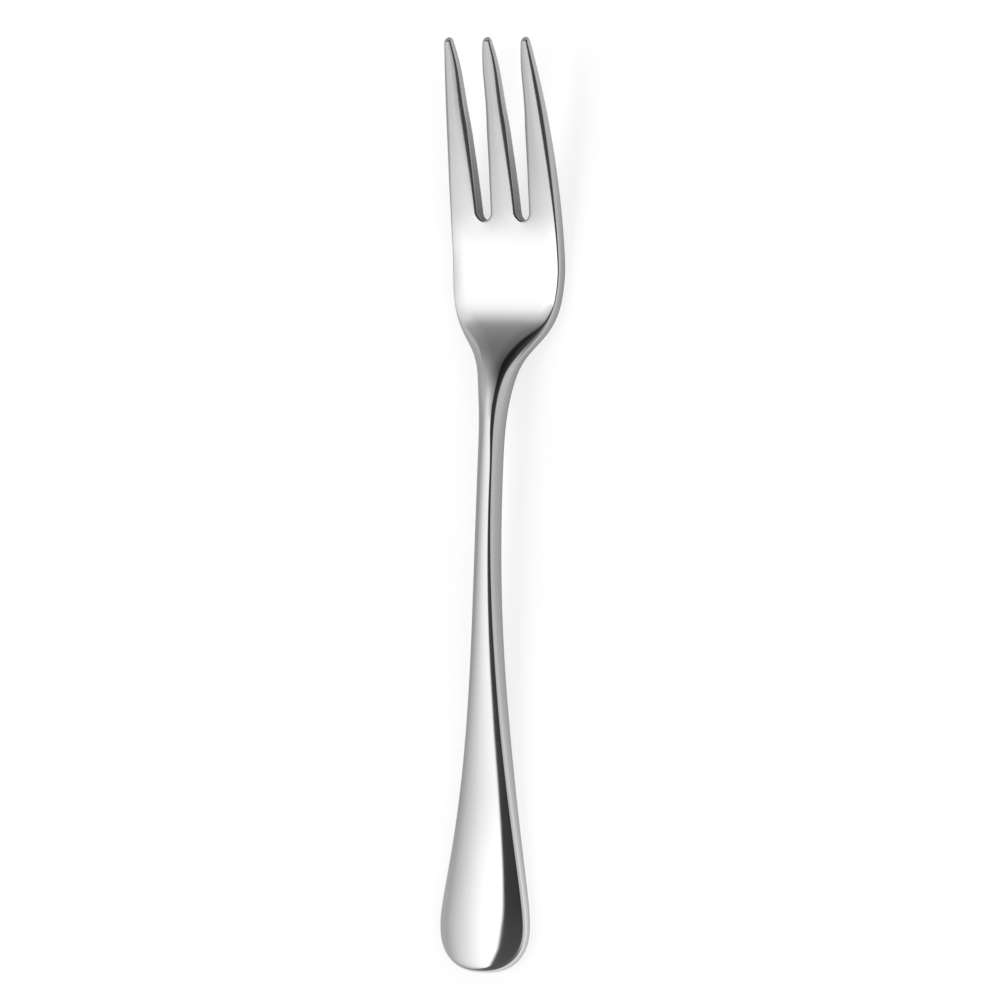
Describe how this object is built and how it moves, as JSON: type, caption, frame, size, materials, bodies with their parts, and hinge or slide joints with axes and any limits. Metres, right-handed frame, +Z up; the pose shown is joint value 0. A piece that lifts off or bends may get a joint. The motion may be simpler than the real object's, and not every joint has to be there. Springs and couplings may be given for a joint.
{
  "type": "fish fork",
  "caption": "Polished stainless steel fish fork with a broad flat head, tapering tines, a slender stem and a crowned teardrop handle, lying on its back.",
  "frame": {"origin": "centre of the bounding box, on the table under the fork", "axes": "+Y along the fork from the end of the handle to the tips of the tines, +Z up off the table, +X across"},
  "size_m": [0.0266, 0.18, 0.0113],
  "materials": {
    "polished_stainless_steel": "polished"
  },
  "bodies": {
    "root": {"fork": "polished_stainless_steel"}
  },
  "joints": []
}
